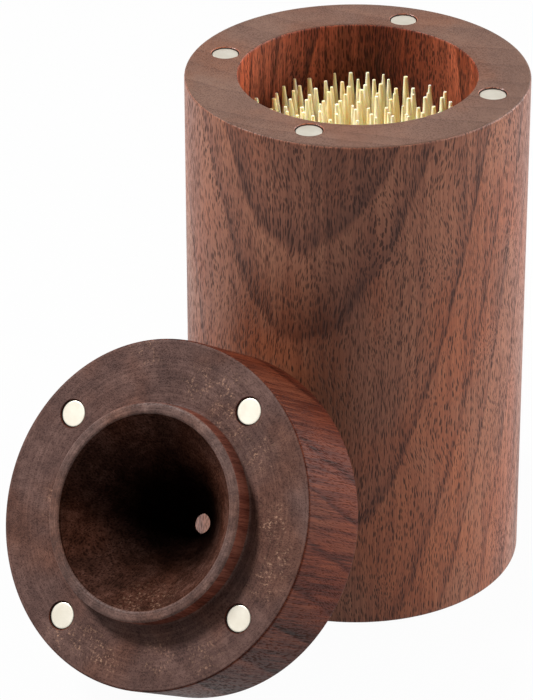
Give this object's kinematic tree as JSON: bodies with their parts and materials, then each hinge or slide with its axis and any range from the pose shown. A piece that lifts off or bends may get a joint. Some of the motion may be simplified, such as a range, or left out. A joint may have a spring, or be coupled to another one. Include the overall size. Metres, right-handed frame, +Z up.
{
  "type": "toothpick dispenser",
  "caption": "Turned wooden toothpick dispenser: a round body with a blind bore, and a lid, held by magnets, whose funnel leads one toothpick to an exit hole.",
  "frame": {"origin": "centre of the body's base", "axes": "+Z up along the axis of the body and its bore, -Y from the body towards the leaning lid, +X along the lid's swing axis"},
  "size_m": [0.052, 0.0923, 0.081],
  "materials": {
    "walnut_body": "oiled walnut, turned, satin",
    "walnut_lid": "bare walnut, turned and drilled, matt",
    "magnet_nickel": "nickel plated disc magnet",
    "toothpick_wood": "bare pale birch"
  },
  "bodies": {
    "dispenser": {"body": "walnut_body", "body_magnet_1": "magnet_nickel", "body_magnet_2": "magnet_nickel", "body_magnet_3": "magnet_nickel", "body_magnet_4": "magnet_nickel"},
    "lid": {"lid": "walnut_lid", "lid_magnet_1": "magnet_nickel", "lid_magnet_2": "magnet_nickel", "lid_magnet_3": "magnet_nickel", "lid_magnet_4": "magnet_nickel"},
    "toothpick_charge": {"toothpick_row_1": "toothpick_wood", "toothpick_row_2": "toothpick_wood", "toothpick_row_3": "toothpick_wood", "toothpick_row_4": "toothpick_wood", "toothpick_row_5": "toothpick_wood", "toothpick_row_6": "toothpick_wood", "toothpick_row_7": "toothpick_wood", "toothpick_row_8": "toothpick_wood", "toothpick_row_9": "toothpick_wood", "toothpick_row_10": "toothpick_wood", "toothpick_row_11": "toothpick_wood", "toothpick_row_12": "toothpick_wood", "toothpick_row_13": "toothpick_wood", "toothpick_row_14": "toothpick_wood", "toothpick_row_15": "toothpick_wood"},
    "next_toothpick": {"next_toothpick": "toothpick_wood"}
  },
  "joints": [
    {"name": "lid_swing", "type": "hinge", "parent": "dispenser", "child": "lid", "pos_m": [0, -0.04053, 0.07006], "axis": [-1, 0, 0], "range_deg": [0, 238]},
    {"name": "next_toothpick_feed", "type": "slide", "parent": "dispenser", "child": "next_toothpick", "axis": [0, 0, 1], "range_m": [0, 0.089]},
    {"name": "toothpick_charge_shift", "type": "slide", "parent": "dispenser", "child": "toothpick_charge", "axis": [0, 0, 1], "range_m": [0, 0.003]}
  ]
}
